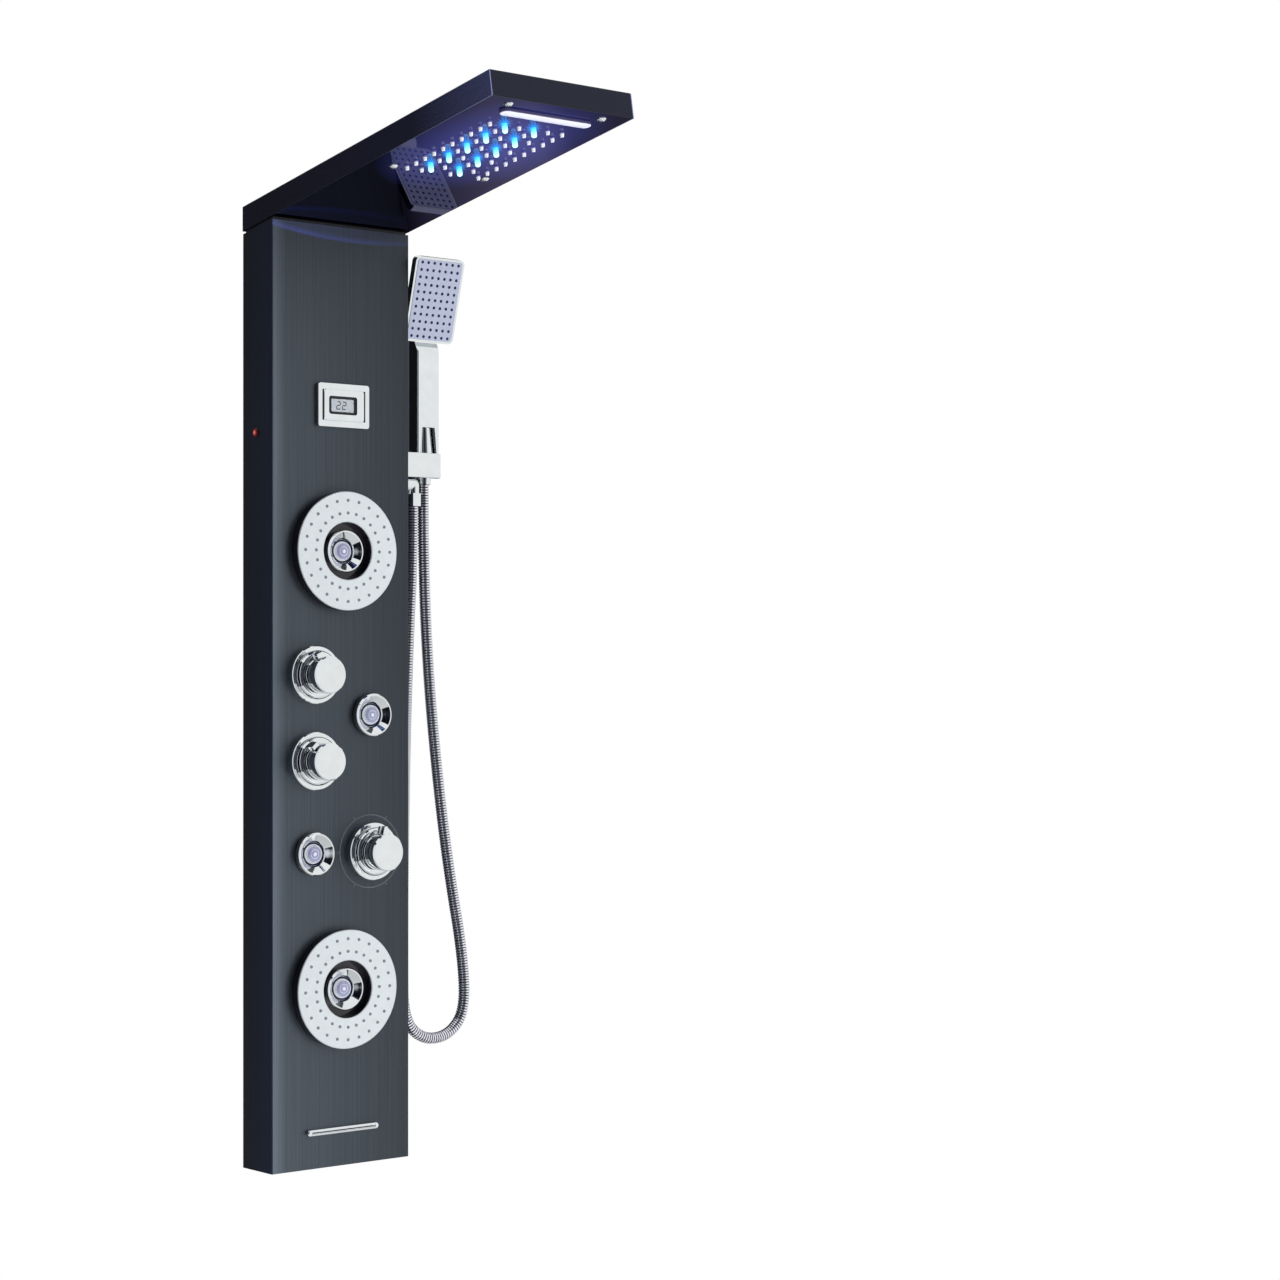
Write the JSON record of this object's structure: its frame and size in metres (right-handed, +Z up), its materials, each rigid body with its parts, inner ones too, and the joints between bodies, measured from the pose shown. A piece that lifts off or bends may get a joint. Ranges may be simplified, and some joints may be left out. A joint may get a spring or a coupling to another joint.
{
  "type": "shower panel",
  "caption": "Wall-hung shower panel: tilted overhead with rain field, lamps and waterfall slot, tilting body jets, knobs, display, bath spout, and a hand shower on a hose.",
  "frame": {"origin": "on the wall plane, midway between the upper bracket's two wall screws", "axes": "+X to the right seen from the room, +Y into the wall, +Z up; the front faces -Y"},
  "size_m": [0.3164, 0.4973, 1.2491],
  "materials": {
    "casing": "vertically brushed, semi-gloss dark slate",
    "polished_underside": "mirror-polished black",
    "seal": "matte",
    "steel": "zinc plated",
    "chrome": "polished",
    "chromed_plastic": "chrome plated",
    "spray_plate": "satin",
    "lens": "clear satin",
    "silicone": "satin",
    "lamp_glass": "lit lens",
    "window_glass": "clear",
    "brass": "turned",
    "tube": "natural",
    "housing": "moulded",
    "amber": "lit lens"
  },
  "bodies": {
    "panel": {"panel_shell": "casing", "head_shell": "casing", "bottom_cap": "casing", "top_cap": "casing", "head_soffit": "polished_underside", "neck_gasket": "seal", "jet_gaskets": "seal", "wall_brackets": "steel", "hanger_rails": "steel", "soffit_screws": "chrome", "waterfall_spout": "chrome", "jet_cups": "chrome", "knob_flanges": "chrome", "bath_spout": "chrome", "hose_outlet": "chrome", "hose_nut": "chrome", "shower_hose": "chrome", "upper_disc_body": "chromed_plastic", "lower_disc_body": "chromed_plastic", "handset_holder": "chromed_plastic", "display_bezel": "chromed_plastic", "upper_disc_face": "spray_plate", "lower_disc_face": "spray_plate", "rain_nozzles": "silicone", "lamp_lenses": "lamp_glass", "display_window": "window_glass", "valve_body": "brass", "diverter_body": "brass", "valve_cartridges": "brass", "diverter_cartridge": "brass", "ring_nuts": "brass", "jet_back_nuts": "brass", "mixed_tube": "tube", "rain_tube": "tube", "waterfall_tube": "tube", "jet_tubes": "tube", "handset_tube": "tube", "spout_tube": "tube", "display_module": "housing", "hydro_generator": "housing", "lamp_strips": "housing", "rain_chamber": "housing", "pilot_lamp": "amber"},
    "hot_control": {"hot_knob": "chrome", "hot_spindle": "brass"},
    "cold_control": {"cold_knob": "chrome", "cold_spindle": "brass"},
    "diverter_control": {"diverter_knob": "chrome", "diverter_spindle": "brass"},
    "upper_jet": {"upper_jet_ball": "chromed_plastic", "upper_jet_nozzle": "lens"},
    "lower_jet": {"lower_jet_ball": "chromed_plastic", "lower_jet_nozzle": "lens"},
    "right_jet": {"right_jet_ball": "chromed_plastic", "right_jet_nozzle": "lens"},
    "left_jet": {"left_jet_ball": "chromed_plastic", "left_jet_nozzle": "lens"},
    "hand_shower": {"handset_body": "chromed_plastic", "handset_face": "spray_plate", "hose_cone_nut": "chrome"}
  },
  "joints": [
    {"name": "hot_turn", "type": "hinge", "parent": "panel", "child": "hot_control", "pos_m": [-0.042, -0.065, -0.444], "axis": [0, -1, 0], "range_deg": [-26, 64]},
    {"name": "cold_turn", "type": "hinge", "parent": "panel", "child": "cold_control", "pos_m": [-0.042, -0.065, -0.548], "axis": [0, -1, 0], "range_deg": [-44, 46]},
    {"name": "diverter_turn", "type": "hinge", "parent": "panel", "child": "diverter_control", "pos_m": [0.042, -0.065, -0.66], "axis": [0, -1, 0], "continuous": true},
    {"name": "upper_jet_tilt", "type": "hinge", "parent": "panel", "child": "upper_jet", "pos_m": [0, -0.06, -0.294], "axis": [1, 0, 0], "range_deg": [-12, 12]},
    {"name": "lower_jet_tilt", "type": "hinge", "parent": "panel", "child": "lower_jet", "pos_m": [0, -0.06, -0.825], "axis": [1, 0, 0], "range_deg": [-12, 12]},
    {"name": "right_jet_tilt", "type": "hinge", "parent": "panel", "child": "right_jet", "pos_m": [0.042, -0.06, -0.493], "axis": [1, 0, 0], "range_deg": [-12, 12]},
    {"name": "left_jet_tilt", "type": "hinge", "parent": "panel", "child": "left_jet", "pos_m": [-0.042, -0.06, -0.66], "axis": [1, 0, 0], "range_deg": [-12, 12]},
    {"name": "hand_shower_lift", "type": "slide", "parent": "panel", "child": "hand_shower", "axis": [0, 0, 1], "range_m": [0, 0.06]}
  ]
}
